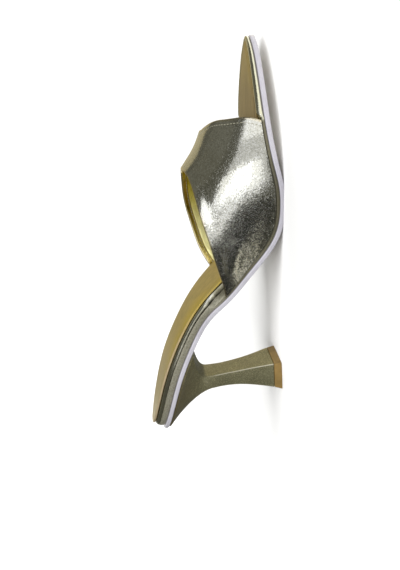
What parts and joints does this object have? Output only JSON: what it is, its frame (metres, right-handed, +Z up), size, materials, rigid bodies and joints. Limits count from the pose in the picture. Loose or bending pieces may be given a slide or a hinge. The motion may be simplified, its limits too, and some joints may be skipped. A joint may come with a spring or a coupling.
{
  "type": "open toe heeled mule",
  "caption": "Pointed open-toe mule with a wide metallic vamp band, padded footbed, slim outsole and a flared angular heel.",
  "frame": {"origin": "centre of the flat bottom of the heel's top piece, on the floor", "axes": "+X from heel to toe, +Y to the shoe's left (the foot's inner side), +Z up"},
  "size_m": [0.2406, 0.0784, 0.0902],
  "materials": {
    "outsole": "satin pale edge",
    "board_leather": "metallic silver leather, glossy",
    "insole_leather": "soft gold leather",
    "upper_leather": "metallic champagne silver leather, fine grain",
    "heel_cover": "olive gold metallic lacquer with fine flake",
    "top_piece": "matt tan"
  },
  "bodies": {
    "root": {"outsole": "outsole", "covered_board": "board_leather", "insole": "insole_leather", "upper": "upper_leather", "heel": "heel_cover", "top_piece": "top_piece"}
  },
  "joints": []
}
